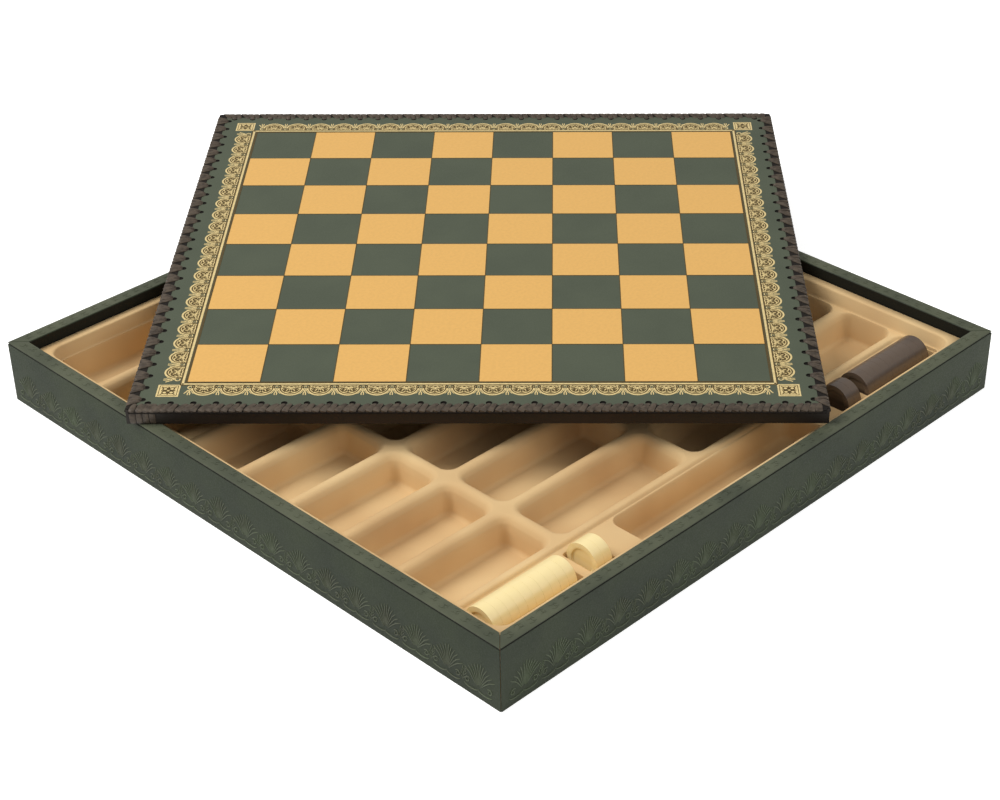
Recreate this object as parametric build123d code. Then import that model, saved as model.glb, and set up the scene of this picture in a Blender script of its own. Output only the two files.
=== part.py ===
from build123d import *
import os
from math import cos, radians, sin, tan

# Chess box in green leather with a loose laced playing board, a flocked storage tray
# and two sets of draughts. Sizes are in millimetres, +Z is up, and the origin is the
# centre of the box's underside. +X runs along the side that keeps the draughts, from
# the light ones to the dark ones, and +Y runs from there to the last row of cells.

# ---- Box ----
box_size = 350.0            # outside, square
box_height = 34.0           # floor to rim
leather_t = 0.8             # embossed leather round the walls
wall_core_t = 6.4           # wooden wall board
underside_t = 0.6           # cloth lining on the bottom
bottom_panel_t = 3.0        # hardboard bottom, set between the walls
cover_turn_in = 17.0        # how far the leather runs down inside the rim
crease_drop = 0.7           # tooled crease, below the rim on the outside
crease_w = 0.7
crease_depth = 0.35

# ---- Tray, one thermoformed and flocked sheet ----
tray_recess = 6.5           # rim to flange: the seat that the board drops on to
tray_clearance = 1.0        # flange edge to inner leather, with the tray centred
tray_offset = (0.4, 0.7)    # the loose tray lies a little towards the back corner
flange_w = 5.0
sheet_t = 1.2
step_drop = 7.5             # flange down to the tops of the ribs
step_inset = 1.0            # how far the step leans in over that drop
rib_w = 6.0                 # across a rib's top
rib_round = 1.2             # softened edge of a rib
draft_angle = 5.0           # degrees, on every cell wall
cell_rows = 8
outer_cell_l = 66.0         # cells of the two outer columns, along X
channel_w = 27.6            # draughts channel, along the -Y side
cell_corner_r = 6.0
well_corner_r = 8.0
flange_corner_r = 4.0
corner_flats = 4            # flats that draw a rounded corner of the tray

# ---- Draughts and their cradles ----
draught_d = 18.5
draught_t = 5.0
draught_flats = 40          # flats that draw a draught's round
dish_flats = 24
dish_d = 12.6               # turned hollow in the end draughts' faces
dish_depth = 0.8
dish_slope = 0.5            # the hollow's wall leans in by this
long_count = 10
short_count = 2
headroom = 0.25             # lying draughts to the underside of the closed board
cradle_clearance = 0.3      # round the draughts
cradle_shelf = 2.8          # ledge between the channel's rib and a cradle
cradle_end_margin = 1.5     # long cradle to the tray's end wall
long_spare = 6.5            # finger room at the end of a stack
short_spare = 5.0
divider_w = 5.0             # between the long and the short cradle
plateau_l = 17.5            # flat part inboard of the short cradle
light_long_gap = 1.8        # from each stack to the outer end of its cradle
light_short_gap = 2.6
dark_long_gap = 6.2
dark_short_gap = 1.1

# ---- Playing board, laced round its edge ----
board_clearance = 1.5       # lacing to the inner leather, with the board dropped in
lace_t = 0.8
edge_strip_t = 0.8
board_lining_t = 0.6
board_core_t = 5.9
board_leather_t = 0.8
board_margin = 26.1         # edge to the field of 64 squares
foil_t = 0.1
line_w = 0.8                # fine gold line round the field
line_offset = 1.9           # field to the middle of that line
band_w = 10.3               # gold ornamental band
band_offset = 2.7           # field to the band's inner edge
stitches_per_side = 30
stitch_end_margin = 10.35   # edge to the first strand of a side
stitch_w = 3.0
stitch_reach = 6.5          # edge to the punched hole
stitch_slant = 3.2          # sideways run of a strand on its way to the edge
stitch_drop = 2.2           # how far a strand runs down the edge before it is tucked in
board_shift = (0.1546, 0.1851)  # the board lies askew across the rim: its centre, per box size
board_turn = -46.15         # degrees about Z

# ---- Worked out from the above ----
wall_t = wall_core_t + 2 * leather_t
inner_half = box_size / 2 - wall_t
panel_top = underside_t + bottom_panel_t
flange_z = box_height - tray_recess
rib_z = flange_z - step_drop
floor_z = panel_top + sheet_t
tray_half = inner_half - tray_clearance
well_half = tray_half - flange_w
cell_half = well_half - step_inset
lean = tan(radians(draft_angle))
cell_w = (2 * cell_half - channel_w - cell_rows * rib_w) / cell_rows
inner_cell_l = (2 * cell_half - 3 * rib_w - 2 * outer_cell_l) / 2
channel_y = (-cell_half, -cell_half + channel_w)
cradle_r = draught_d / 2 + cradle_clearance
axis_y = channel_y[1] - cradle_shelf - cradle_r
axis_z = flange_z - headroom - draught_d / 2
long_cradle = (cell_half - cradle_end_margin - long_count * draught_t - long_spare,
               cell_half - cradle_end_margin)
short_cradle = (long_cradle[0] - divider_w - short_count * draught_t - short_spare,
                long_cradle[0] - divider_w)
channel_half = short_cradle[0] - plateau_l

board_size = 2 * (inner_half - board_clearance)
board_centre = (board_shift[0] * box_size, board_shift[1] * box_size)
field_size = board_size - 2 * board_margin
stitch_pitch = (board_size - 2 * stitch_end_margin) / (stitches_per_side - 1)
lining_z = box_height
core_z = lining_z + board_lining_t
board_leather_z = core_z + board_core_t
board_top = board_leather_z + board_leather_t
strip_half = board_size / 2 - lace_t
sheet_half = strip_half - edge_strip_t

over = 0.1                  # a cutter runs this far past the face it opens


def rounded(size_x, size_y, corner_r):
    """A rectangle with rounded corners, each drawn by a few flats."""
    points = []
    for quarter, (x, y) in enumerate(((1, 1), (-1, 1), (-1, -1), (1, -1))):
        centre_x = x * (size_x / 2 - corner_r)
        centre_y = y * (size_y / 2 - corner_r)
        for k in range(corner_flats + 1):
            turn = radians(90 * (quarter + k / corner_flats))
            points.append((centre_x + corner_r * cos(turn), centre_y + corner_r * sin(turn)))
    return make_face(Polyline(*points, close=True))


def slab(half, z0, z1, corner_r=0.0):
    """A square plate centred on Z, from z0 to z1."""
    outline = rounded(2 * half, 2 * half, corner_r) if corner_r else Rectangle(2 * half, 2 * half)
    return Pos(0, 0, z0) * extrude(outline, z1 - z0)


def ring(outer_half, inner_half_, z0, z1):
    """A square frame from z0 to z1."""
    return slab(outer_half, z0, z1) - slab(inner_half_, z0 - over, z1 + over)


def mitred(frame, reach):
    """The four sides of a square frame, cut apart at 45 degrees: -Y, +X, +Y, -X."""
    low = frame.bounding_box().min.Z - over
    high = frame.bounding_box().max.Z + over
    triangle = make_face(Polyline((0, 0), (-reach, -reach), (reach, -reach), close=True))
    wedge = Pos(0, 0, low) * extrude(triangle, high - low)
    return [frame & (Rot(0, 0, 90 * k) * wedge) for k in range(4)]


def tapered(size_x, size_y, corner_r, z0, z1, grow):
    """A block whose outline grows by `grow` a side from z0 to z1, corners included."""
    low = rounded(size_x, size_y, corner_r)
    high = rounded(size_x + 2 * grow, size_y + 2 * grow, corner_r + grow)
    return loft([Pos(0, 0, z0) * low, Pos(0, 0, z1) * high], ruled=True)


# ---- Box pieces ----
SIDES = ("front_right", "back_right", "back_left", "front_left")


def wall_boards():
    """Wooden boards, mitred at the corners and rebated by the leather's thickness."""
    outer = box_size / 2 - leather_t
    frame = ring(outer, outer - wall_core_t, underside_t, box_height - leather_t)
    return mitred(frame, box_size)


def leather_covers():
    """Leather folded over each wall: outside, rim and a turn-in down the inside."""
    half = box_size / 2
    core = ring(half - leather_t, inner_half + leather_t, -over, box_height - leather_t)
    below_turn_in = ring(half - leather_t, inner_half - over, -over, box_height - cover_turn_in)
    crease_top = box_height - crease_drop
    crease = ring(half + over, half - crease_depth, crease_top - crease_w, crease_top)
    frame = ring(half, inner_half, 0, box_height) - core - below_turn_in - crease
    return mitred(frame, box_size)


def bottom_panel():
    """Hardboard bottom, between the wall boards."""
    return slab(inner_half + leather_t, underside_t, panel_top)


def underside_lining():
    """Cloth glued under the panel and the wall boards."""
    return slab(box_size / 2 - leather_t, 0, underside_t)


# ---- Tray ----
def pocket(x0, x1, y0, y1, corner_r=cell_corner_r):
    """Cutter for one cell: drafted walls, rounded corners and a softened rib edge."""
    depth = rib_z - rib_round - floor_z
    run = depth * lean
    length, width = x1 - x0 - 2 * run, y1 - y0 - 2 * run
    body = tapered(length, width, corner_r - run, floor_z, rib_z - rib_round, run)
    mouth = tapered(x1 - x0, y1 - y0, corner_r, rib_z - rib_round, rib_z + over, rib_round + over)
    return Pos((x0 + x1) / 2, (y0 + y1) / 2, 0) * (body + mouth)


def cell_columns():
    """X limits of the four columns of cells."""
    a, b = cell_half, cell_half - outer_cell_l
    return [(-a, -b), (-b + rib_w, -rib_w / 2), (rib_w / 2, b - rib_w), (b, a)]


def cell_row_y(row):
    """Y limits of a row of cells."""
    y0 = channel_y[1] + rib_w + row * (cell_w + rib_w)
    return y0, y0 + cell_w


def narrowed(limits):
    """A pocket's mouth limits, less the softened edge that stays on the ribs."""
    return limits[0] + rib_round, limits[1] - rib_round


def cradle(limits, side):
    """Cutter for a half-round cradle, open upwards, on the light (-1) or dark (+1) side."""
    x0, x1 = sorted((side * limits[0], side * limits[1]))
    round_part = Pos((x0 + x1) / 2, axis_y, axis_z) * Rot(0, 90, 0) * Cylinder(cradle_r, x1 - x0)
    above = Box(x1 - x0, 2 * cradle_r, rib_z + over - axis_z, align=(Align.MIN, Align.CENTER, Align.MIN))
    return round_part + Pos(x0, axis_y, axis_z) * above


def rib_hollow(length):
    """Cutter for the hollow under a rib, along X, centred, as the sheet leaves it."""
    top_z = rib_z - sheet_t
    top = rib_w / 2 - sheet_t + rib_round * lean
    bottom = top + (top_z - panel_top) * lean
    section = make_face(Polyline((-bottom, panel_top - over), (bottom, panel_top - over),
                                 (top, top_z), (-top, top_z), close=True))
    return extrude(Plane.YZ * section, length / 2, both=True)


def tray():
    """Thin-walled moulding: flange, step, cells, draughts channel and cradles."""
    foot_half = cell_half + sheet_t - (rib_z - panel_top) * lean
    skirt = tapered(2 * foot_half, 2 * foot_half, well_corner_r, panel_top, flange_z - sheet_t,
                    well_half + sheet_t - foot_half)
    body = skirt + slab(tray_half, flange_z - sheet_t, flange_z, flange_corner_r)
    well_slope = step_inset / step_drop
    body -= tapered(2 * cell_half, 2 * cell_half, well_corner_r, rib_z, flange_z + over,
                    step_inset + over * well_slope)

    cutters = []
    for x_limits in cell_columns():
        for row in range(cell_rows):
            cutters.append(pocket(*narrowed(x_limits), *narrowed(cell_row_y(row))))
    cutters.append(pocket(*narrowed((-channel_half, channel_half)), *narrowed(channel_y)))
    for side in (-1, 1):
        cutters.append(cradle(long_cradle, side))
        cutters.append(cradle(short_cradle, side))
    body -= cutters

    hollow_half = foot_half - sheet_t
    hollows = []
    for row in range(cell_rows):
        hollows.append(Pos(0, cell_row_y(row)[0] - rib_w / 2, 0) * rib_hollow(2 * hollow_half))
    channel_rib_y = channel_y[1] + rib_w / 2
    column_l = hollow_half - channel_rib_y
    for x in (-(cell_half - outer_cell_l) + rib_w / 2, 0, cell_half - outer_cell_l - rib_w / 2):
        hollow = Rot(0, 0, 90) * rib_hollow(column_l)
        hollows.append(Pos(x, channel_rib_y + column_l / 2, 0) * hollow)
    bench_y0 = -hollow_half
    bench_w = channel_rib_y - bench_y0
    for side in (-1, 1):
        for x0, x1, top in (
            (channel_half + sheet_t + rib_round, hollow_half, axis_z - cradle_r - sheet_t),
            (channel_half + sheet_t + rib_round, short_cradle[0] - sheet_t, rib_z - sheet_t),
        ):
            hollow = Box(x1 - x0, bench_w, top - panel_top + over, align=(Align.CENTER, Align.MIN, Align.MIN))
            hollows.append(Pos(side * (x0 + x1) / 2, bench_y0, panel_top - over) * hollow)
    body -= hollows
    return Pos(*tray_offset, 0) * body


# ---- Draughts ----
def draught(dished):
    """One draught on its side, its axis along X, centred. `dished` is its hollowed face."""
    disc = Rot(0, 90, 0) * extrude(RegularPolygon(draught_d / 2, draught_flats), draught_t / 2, both=True)
    if not dished:
        return disc
    floor = Pos(0, 0, -dish_depth) * RegularPolygon(dish_d / 2 - dish_slope, dish_flats)
    hollow = loft([floor, RegularPolygon(dish_d / 2, dish_flats)], ruled=True)
    return disc - Pos(dished * draught_t / 2, 0, 0) * Rot(0, 90 * dished, 0) * hollow


def stack(count, cradle_limits, gap, side):
    """A row of draughts in a cradle, `gap` from its outer end."""
    outer_end = cradle_limits[1] - gap
    discs = []
    for i in range(count):
        dished = side if i == 0 else -side if i == count - 1 else 0
        x = side * (outer_end - (i + 0.5) * draught_t)
        discs.append(Pos(x + tray_offset[0], axis_y + tray_offset[1], axis_z) * draught(dished))
    return discs


# ---- Playing board, made square to the axes and then turned into place ----
def place_board(piece):
    return Pos(*board_centre, 0) * Rot(0, 0, board_turn) * piece


def light_squares():
    """The 32 gold squares. The one at the board's front left corner is light."""
    square = field_size / 8
    tile = Box(square, square, foil_t, align=(Align.CENTER, Align.CENTER, Align.MIN))
    return [Pos((i - 3.5) * square, (j - 3.5) * square, board_top) * tile
            for i in range(8) for j in range(8) if (i + j) % 2 == 0]


def gold_border():
    """Foil outside the field: a fine line and the ornamental band."""
    line = field_size / 2 + line_offset
    band = field_size / 2 + band_offset
    return [ring(line + line_w / 2, line - line_w / 2, board_top, board_top + foil_t),
            ring(band + band_w, band, board_top, board_top + foil_t)]


def stitch():
    """One strand of lacing on the -Y edge: slanted over the top and turned down the edge."""
    edge = -board_size / 2
    face = edge + lace_t
    hole = edge + stitch_reach
    half = stitch_w / 2
    outline = Polyline((-half, hole), (half, hole), (half + stitch_slant, face),
                       (-half + stitch_slant, face), close=True)
    top = Pos(0, 0, board_top) * extrude(make_face(outline), lace_t)
    down = Box(stitch_w, lace_t, stitch_drop + lace_t, align=(Align.CENTER, Align.MIN, Align.MAX))
    return top + Pos(stitch_slant, edge, board_top + lace_t) * down


def lacing(side):
    """All strands of one edge of the board."""
    strand = stitch()
    first = -(stitches_per_side - 1) / 2 * stitch_pitch
    return [Rot(0, 0, 90 * side) * Pos(first + k * stitch_pitch, 0, 0) * strand
            for k in range(stitches_per_side)]


def board_pieces():
    """Every piece of the board, square to the axes."""
    pieces = {
        "board_lining": [slab(sheet_half, lining_z, core_z)],
        "board_core": [slab(sheet_half, core_z, board_leather_z)],
        "board_top_leather": [slab(sheet_half, board_leather_z, board_top)],
        "light_squares": light_squares(),
        "gold_border": gold_border(),
    }
    strips = mitred(ring(strip_half, sheet_half, lining_z, board_top), board_size)
    for side, name in enumerate(("front", "right", "back", "left")):
        pieces["board_edge_" + name] = [strips[side]]
        pieces["lacing_" + name] = lacing(side)
    return pieces


# ---- Everything, by node ----
def all_pieces():
    pieces = {"bottom_panel": [bottom_panel()], "underside_lining": [underside_lining()]}
    for name, board in zip(SIDES, wall_boards()):
        pieces["wall_" + name] = [board]
    for name, cover in zip(SIDES, leather_covers()):
        pieces["cover_" + name] = [cover]
    pieces["tray"] = [tray()]
    pieces["light_stack"] = stack(long_count, long_cradle, light_long_gap, -1)
    pieces["light_pair"] = stack(short_count, short_cradle, light_short_gap, -1)
    pieces["dark_stack"] = stack(long_count, long_cradle, dark_long_gap, 1)
    pieces["dark_pair"] = stack(short_count, short_cradle, dark_short_gap, 1)
    for name, solids in board_pieces().items():
        pieces[name] = [place_board(solid) for solid in solids]
    return pieces


os.makedirs("parts", exist_ok=True)
for node, shapes in all_pieces().items():
    solids = [solid for shape in shapes for solid in shape.solids()]
    export_step(solids[0] if len(solids) == 1 else Compound(children=solids), f"parts/{node}.step")
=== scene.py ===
import random
from math import cos, hypot, pi, radians, sin, tan

import bmesh
import bpy
from mathutils import Matrix, Vector, geometry


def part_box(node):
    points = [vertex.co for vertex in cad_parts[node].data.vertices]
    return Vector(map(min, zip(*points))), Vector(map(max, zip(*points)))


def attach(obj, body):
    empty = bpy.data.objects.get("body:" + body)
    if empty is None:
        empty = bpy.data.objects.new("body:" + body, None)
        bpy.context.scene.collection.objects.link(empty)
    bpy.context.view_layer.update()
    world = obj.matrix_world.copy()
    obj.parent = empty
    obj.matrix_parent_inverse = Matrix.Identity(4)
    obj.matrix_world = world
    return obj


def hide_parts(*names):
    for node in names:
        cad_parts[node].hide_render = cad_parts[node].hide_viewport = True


bl_info = {
    "name": "Laced chess board and draughts box",
    "version": (1, 0, 0),
    "blender": (4, 5, 0),
    "location": "View3D > Sidebar > Chess Box",
    "description": "Leather, flock, gold tooling, lacing and draughts for the packed chess box",
    "category": "Object",
}

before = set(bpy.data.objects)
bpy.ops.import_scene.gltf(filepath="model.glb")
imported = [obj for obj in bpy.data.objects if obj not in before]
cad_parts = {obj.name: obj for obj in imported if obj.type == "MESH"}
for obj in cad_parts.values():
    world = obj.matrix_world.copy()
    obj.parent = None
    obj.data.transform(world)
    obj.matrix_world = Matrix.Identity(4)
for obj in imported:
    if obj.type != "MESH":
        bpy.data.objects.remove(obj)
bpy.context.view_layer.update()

MM = 0.001
SIDES = ("front", "right", "back", "left")
COVERS = ("cover_front_right", "cover_back_right", "cover_back_left", "cover_front_left")


def corners(node):
    """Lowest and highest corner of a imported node, in millimetres."""
    low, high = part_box(node)
    return [v / MM for v in low], [v / MM for v in high]


def middle(node):
    low, high = corners(node)
    return [(a + b) / 2 for a, b in zip(low, high)]


def colour(hex_value):
    """An sRGB hex colour as linear red, green and blue."""
    parts = [int(hex_value[i:i + 2], 16) / 255 for i in (1, 3, 5)]
    return tuple(c / 12.92 if c <= 0.04045 else ((c + 0.055) / 1.055) ** 2.4 for c in parts)


# ---- Sizes and colours ----
def length(text, default, detail):
    """A length in the sidebar. `default` is in millimetres."""
    return bpy.props.FloatProperty(
        name=text, description=detail, default=default * MM, min=0, unit="LENGTH", precision=5)


def power(text, default, detail):
    return bpy.props.FloatProperty(
        name=text, description=detail, default=default, min=0, unit="POWER")


def tint(text, default, detail):
    return bpy.props.FloatVectorProperty(
        name=text, description=detail, default=colour(default), subtype="COLOR",
        min=0, max=1, size=3)


class CoverSettings(bpy.types.PropertyGroup):
    relief: length("Relief", 0.3, "Height of the blind tooling on the box's sides")
    motif_pitch: length("Motif pitch", 19.0, "Distance from one tooled palmette to the next")
    motif_height: length("Motif height", 14.5, "Height of a tooled palmette")
    edge_round: length("Edge round", 1.0, "Rounding of the leather over the rim's outer edge")
    seam: length("Seam", 0.18, "Half the gap where two covers meet at a corner")
    leather: tint("Leather", "#313927", "Green of the box's leather")
    shade: tint("Leather shade", "#283022", "Deeper green in the leather's clouding")
    # The rim's top: a painted highlight, drawn lighter than the sides where the light from above
    # falls on it.
    painted_highlight: tint("Rubbed leather", "#555947", "Leather that hands have polished: the rim's top")
    # The crowns of the tooled lines: a painted highlight, drawn paler where they catch the light.
    raised: tint("Raised lines", "#5A644D", "Crowns of the tooled lines, rubbed pale")
    # Painted shade: near black in the crease's groove and on the inner wall under the closed board.
    crease: tint("Crease", "#16170F", "Leather burnished by the hot creaser at the rim's edges")


class TraySettings(bpy.types.PropertyGroup):
    shoulder: length("Shoulder", 1.35, "How far a rib's rounded shoulder reaches into a cell")
    floor_fillet: length("Floor fillet", 2.4, "Rounding between a cell's wall and its floor")
    flock: tint("Flock", "#DDBE8D", "Tan of the flocked tray")
    flock_shade: tint("Flock shade", "#CCA97A", "Deeper tan where the pile lies the other way")


class DraughtSettings(bpy.types.PropertyGroup):
    edge: length("Edge", 0.09, "Rounding of a draught's rim")
    light: tint("Light wood", "#F8E3A8", "Lacquered pale wood")
    dark: tint("Dark wood", "#5C4D40", "Stained dark wood")


class BoardSettings(bpy.types.PropertyGroup):
    hole: length("Lacing hole", 3.2, "Diameter of a punched lacing hole")
    hole_inset: length("Hole inset", 7.4, "Board edge to the middle of a lacing hole")
    leather: tint("Leather", "#4E5545", "Green of the playing surface")
    leather_shade: tint("Leather shade", "#4A5142", "Deeper green in the playing surface")
    squares: tint("Light squares", "#E8B564", "Gold print of the light squares")


class ToolingSettings(bpy.types.PropertyGroup):
    lunettes: bpy.props.IntProperty(
        name="Lunettes", description="Lunettes along one side of the band", default=20, min=1)
    pitch: length("Lunette pitch", 13.72, "Distance from one lunette to the next")
    line: length("Fine line", 1.15, "Width of the gold line round the field")
    gold: tint("Gold", "#EFD697", "Gold leaf of the ornament")
    burnt: tint("Tooling ground", "#584518", "Darkened leather pressed down by the hot tools")


class LacingSettings(bpy.types.PropertyGroup):
    strand: length("Strand", 3.2, "Width of a strand where it turns over the edge")
    thickness: length("Thickness", 0.78, "Thickness of the lace")
    lace: tint("Lace", "#53483C", "Brown of the lace")
    edge: tint("Edge", "#1F1912", "Brown of the leather round the board's edge")


class StageSettings(bpy.types.PropertyGroup):
    key: power("Key light", 34, "Power of the main soft light")
    fill: power("Fill light", 12, "Power of the fill light")
    floor: tint("Floor", "#F2F2F1", "Plain pale floor")


SETTINGS = {
    "chess_covers": CoverSettings,
    "chess_tray": TraySettings,
    "chess_draughts": DraughtSettings,
    "chess_board": BoardSettings,
    "chess_tooling": ToolingSettings,
    "chess_lacing": LacingSettings,
    "chess_stage": StageSettings,
}


# ---- Meshes ----
class Shape:
    """Points in millimetres and the faces between them, gathered for one mesh."""

    def __init__(self):
        self.points, self.faces, self.finishes = [], [], []

    def add(self, points, faces, finish=0):
        """Adds faces with one material number, or with a list of them."""
        start = len(self.points)
        self.points += [tuple(p) for p in points]
        self.faces += [[start + i for i in face] for face in faces]
        self.finishes += finish if isinstance(finish, list) else [finish] * len(faces)

    def bridge(self, rings, finish=0, cap_first=False, cap_last=False):
        """Quads between closed rings. `finish` may be a function of a ring's segment."""
        n = len(rings[0])
        spans = len(rings) - 1
        faces = []
        for k in range(spans):
            for i in range(n):
                j = (i + 1) % n
                faces.append([k * n + i, k * n + j, (k + 1) * n + j, (k + 1) * n + i])
        if cap_first:
            faces.append(list(range(n))[::-1])
        if cap_last:
            faces.append([spans * n + i for i in range(n)])
        if callable(finish):
            finish = [finish(i) for i in range(n)] * spans
            finish += [0] * (len(faces) - len(finish))
        self.add([p for r in rings for p in r], faces, finish)

    def solid(self, rings, finish=0):
        self.bridge(rings, finish, cap_first=True, cap_last=True)

    def placed(self, matrix):
        """The same shape under a matrix in millimetres."""
        copy = Shape()
        copy.add([matrix @ Vector(p) for p in self.points], self.faces, self.finishes)
        return copy

    def join(self, other):
        self.add(other.points, other.faces, other.finishes)


def new_object(name, data):
    thing = bpy.data.objects.new(name, data)
    bpy.context.scene.collection.objects.link(thing)
    return thing


def make_piece(name, shape, materials, body, nodes, angle=38, outward=True):
    """An object from a shape. It rides on `body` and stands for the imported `nodes`."""
    mesh = bpy.data.meshes.new(name)
    mesh.from_pydata([[c * MM for c in p] for p in shape.points], [], shape.faces)
    mesh.polygons.foreach_set("material_index", shape.finishes)
    for material in materials:
        mesh.materials.append(material)
    work = bmesh.new()
    work.from_mesh(mesh)
    bmesh.ops.remove_doubles(work, verts=work.verts, dist=0.002 * MM)
    if outward:
        bmesh.ops.recalc_face_normals(work, faces=work.faces)
    work.to_mesh(mesh)
    work.free()
    mesh.shade_smooth()
    mesh.set_sharp_from_angle(angle=radians(angle))
    piece = new_object(name, mesh)
    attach(piece, body)
    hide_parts(*nodes)
    return piece


def dress(node, material):
    """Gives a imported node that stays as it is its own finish."""
    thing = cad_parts[node]
    if not thing.material_slots:
        thing.data.materials.append(material)
    for place in thing.material_slots:
        place.material = material


def rounded_ring(x0, x1, y0, y1, radius, z, steps=6):
    """Points of a rounded rectangle, anticlockwise from the +X +Y corner."""
    # A corner never takes up a whole side and never shrinks to a point.
    radius = max(min(radius, (x1 - x0) / 2 - 0.01, (y1 - y0) / 2 - 0.01), 0.05)
    points = []
    for quarter, (x, y) in enumerate(((x1, y1), (x0, y1), (x0, y0), (x1, y0))):
        cx = x - radius if x == x1 else x + radius
        cy = y - radius if y == y1 else y + radius
        for k in range(steps + 1):
            turn = pi / 2 * (quarter + k / steps)
            points.append((cx + radius * cos(turn), cy + radius * sin(turn), z))
    return points


def heading(path, i, closed=False):
    """Direction of a flat path at its point i."""
    n = len(path)
    before = path[(i - 1) % n if closed else max(i - 1, 0)]
    after = path[(i + 1) % n if closed else min(i + 1, n - 1)]
    dx, dy = after[0] - before[0], after[1] - before[1]
    run = hypot(dx, dy) or 1.0
    return dx / run, dy / run


def ribbon(shape, path, width, z0, z1, finish=0, closed=False):
    """A flat band of foil along a path in the XY plane, from z0 to z1."""
    rings = []
    for i, (x, y) in enumerate(path):
        dx, dy = heading(path, i, closed)
        sx, sy = -dy * width / 2, dx * width / 2
        rings.append([(x + sx, y + sy, z0), (x - sx, y - sy, z0),
                      (x - sx, y - sy, z1), (x + sx, y + sy, z1)])
    if closed:
        rings.append(rings[0])
    shape.bridge(rings, finish, cap_first=not closed, cap_last=not closed)


def arc(cx, cy, rx, ry, start, end, steps):
    """Points along an ellipse, between two angles in degrees."""
    turns = [radians(start + (end - start) * k / steps) for k in range(steps + 1)]
    return [(cx + rx * cos(turn), cy + ry * sin(turn)) for turn in turns]


def spiral(cx, cy, radius, start, turns, steps=10):
    """A scroll that winds in to a quarter of its radius."""
    points = []
    for k in range(steps + 1):
        turn = radians(start + 360 * turns * k / steps)
        r = radius * (1 - 0.75 * k / steps)
        points.append((cx + r * cos(turn), cy + r * sin(turn)))
    return points


def quarter_turns(count):
    return Matrix.Rotation(radians(90 * count), 4, "Z")


def mirrored(side, points):
    """Points of a drawing, turned over its middle line for side -1."""
    return [(side * x, y) for x, y in points]


# ---- Materials ----
def add_node(tree, kind, settings=None, links=None):
    """Adds a shader node with its properties and socket values, and feeds its inputs."""
    node = tree.nodes.new("ShaderNode" + kind)
    for key, value in (settings or {}).items():
        if isinstance(key, int) or key in node.inputs:
            node.inputs[key].default_value = value
        else:
            setattr(node, key, value)
    for key, output in (links or {}).items():
        tree.links.new(output, node.inputs[key])
    return node


def empty_tree(owner):
    """The node tree of a material or world, with nothing in it."""
    owner.use_nodes = True
    owner.node_tree.nodes.clear()
    return owner.node_tree


def new_material(name, surface):
    """A material with a Principled surface of the given constant values."""
    material = bpy.data.materials.new(name)
    tree = empty_tree(material)
    shader = add_node(tree, "BsdfPrincipled", surface)
    add_node(tree, "OutputMaterial", links={"Surface": shader.outputs["BSDF"]})
    place = add_node(tree, "TexCoord").outputs["Object"]
    return material, tree, shader, place


# A pattern whose cell measures `size_mm` has the scale 1000 / size_mm, for places in metres.
def noise(tree, place, size_mm, detail, roughness=0.5):
    return add_node(tree, "TexNoise",
                    {"Scale": 1000 / size_mm, "Detail": detail, "Roughness": roughness},
                    {"Vector": place}).outputs["Fac"]


def pebbles(tree, place, size_mm, smoothness):
    return add_node(tree, "TexVoronoi",
                    {"feature": "SMOOTH_F1", "Scale": 1000 / size_mm, "Smoothness": smoothness},
                    {"Vector": place}).outputs["Distance"]


def waves(tree, place, size_mm, settings):
    """Light and dark bands in turn, each `size_mm` wide. At scale 1 they are 1 / 6.28 wide."""
    return add_node(tree, "TexWave", {"Scale": 1000 / size_mm / 6.28, **settings},
                    {"Vector": place}).outputs["Fac"]


def two_tones(tree, shader, factor, light, dark, first=0.0, last=1.0):
    """Base colour that goes from dark to light as the factor goes from first to last."""
    ramp = add_node(tree, "ValToRGB", links={"Fac": factor})
    for element, tone, position in zip(ramp.color_ramp.elements, (dark, light), (first, last)):
        element.color = (*tone, 1)
        element.position = position
    tree.links.new(ramp.outputs["Color"], shader.inputs["Base Color"])


def clouded(tree, shader, place, light, dark, size_mm, detail=4.0):
    """Colour that drifts between two tones over patches of `size_mm`."""
    factor = noise(tree, place, size_mm, detail)
    two_tones(tree, shader, factor, light, dark, 0.32, 0.62)
    return factor


def embossed(tree, shader, height, strength, depth_mm, invert=False):
    """Relief of the surface, by a bump."""
    bump = add_node(tree, "Bump",
                    {"Strength": strength, "Distance": depth_mm * MM, "invert": invert},
                    {"Height": height})
    tree.links.new(bump.outputs["Normal"], shader.inputs["Normal"])


def embossed_leather(name, light, dark, grain_mm, depth_mm, roughness):
    # Split cowhide, drum-dyed, plated under a hot grain plate and waxed: a tight pebble whose
    # tops are polished and whose valleys stay dull and darker.
    material, tree, shader, place = new_material(
        name, {"Roughness": roughness, "IOR": 1.48, "Specular IOR Level": 0.3})
    clouded(tree, shader, place, light, dark, 26)
    pebble = pebbles(tree, place, grain_mm, 0.4)
    creases = noise(tree, place, 3.5, 6.0, 0.65)
    both = add_node(tree, "Math", {"operation": "MULTIPLY_ADD", 1: 0.6}, {0: pebble, 2: creases})
    embossed(tree, shader, both.outputs["Value"], 0.55, depth_mm, True)
    gloss = add_node(tree, "MapRange",
                     {"From Max": 0.6, "To Min": roughness - 0.07, "To Max": roughness + 0.16},
                     {"Value": pebble})
    tree.links.new(gloss.outputs["Result"], shader.inputs["Roughness"])
    return material


def flocked_styrene(name, light, dark):
    # Polystyrene sheet, vacuum formed and flocked with 0.5 mm rayon pile: matt, with the soft
    # edge sheen of a short velvet and slightly deeper patches where the pile leans away.
    material, tree, shader, place = new_material(
        name, {"Roughness": 0.92, "IOR": 1.46, "Specular IOR Level": 0.2, "Sheen Weight": 0.35,
               "Sheen Roughness": 0.4, "Sheen Tint": (*light, 1)})
    clouded(tree, shader, place, light, dark, 48, 2.0)
    # The real pile is 0.02 mm across; it is drawn at 0.45 mm, the finest that shows.
    embossed(tree, shader, noise(tree, place, 0.45, 3.0, 0.7), 0.35, 0.12)
    return material


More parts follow.
